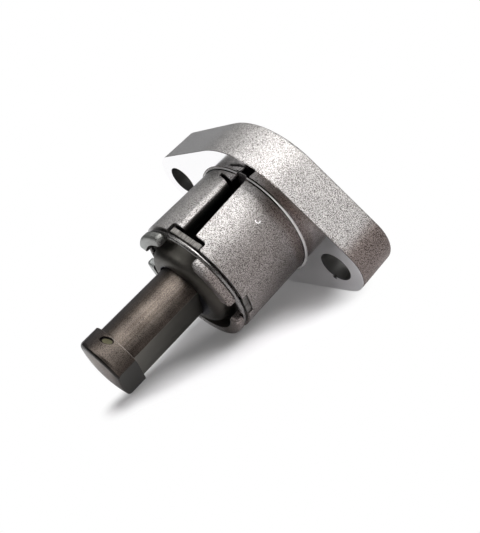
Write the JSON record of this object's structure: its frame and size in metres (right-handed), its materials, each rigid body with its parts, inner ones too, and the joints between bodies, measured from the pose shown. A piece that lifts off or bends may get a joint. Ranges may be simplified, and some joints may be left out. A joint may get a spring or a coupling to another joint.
{
  "type": "timing chain tensioner",
  "caption": "Flanged timing chain tensioner: a spring-wound screw in a slotted cast barrel drives a capped plunger out through a dished guide plate.",
  "frame": {"origin": "where the plunger axis crosses the machined sealing face of the flange, midway between the bolt holes", "axes": "-Y out of the sealing face along the plunger, X through both bolt holes, +Z towards the slot of the spring"},
  "size_m": [0.052, 0.0566, 0.034],
  "materials": {
    "housing": "blasted cast",
    "guide_plate": "smooth, dark oxide",
    "snap_ring": "drawn wire",
    "plunger": "satin, dark bronze tone",
    "plunger_cap": "satin, dark bronze tone",
    "adjuster_screw": "turned",
    "torsion_spring": "drawn wire",
    "thrust_washer": "ground",
    "sealing_washer": "soft copper",
    "sealing_screw": "zinc plated"
  },
  "bodies": {
    "housing": {"housing": "housing", "guide_plate": "guide_plate", "snap_ring": "snap_ring", "thrust_washer": "thrust_washer", "torsion_spring": "torsion_spring", "sealing_washer": "sealing_washer", "sealing_screw": "sealing_screw"},
    "plunger": {"plunger": "plunger", "plunger_cap": "plunger_cap"},
    "screw": {"adjuster_screw": "adjuster_screw"}
  },
  "joints": [
    {"name": "screw_turn", "type": "hinge", "parent": "housing", "child": "screw", "pos_m": [0, 0, 0], "axis": [0, -1, 0], "range_deg": [0, 1404.5], "stiffness_Nm_per_rad": 0.0006, "springref_deg": -687.55, "deforming": ["torsion_spring"]},
    {"name": "plunger_slide", "type": "slide", "parent": "housing", "child": "plunger", "axis": [0, -1, 0], "range_m": [-0.0156, 0]}
  ],
  "couplings": [
    {"joint": "screw_turn", "follows": "plunger_slide", "rad_per_m": -1570.8}
  ]
}
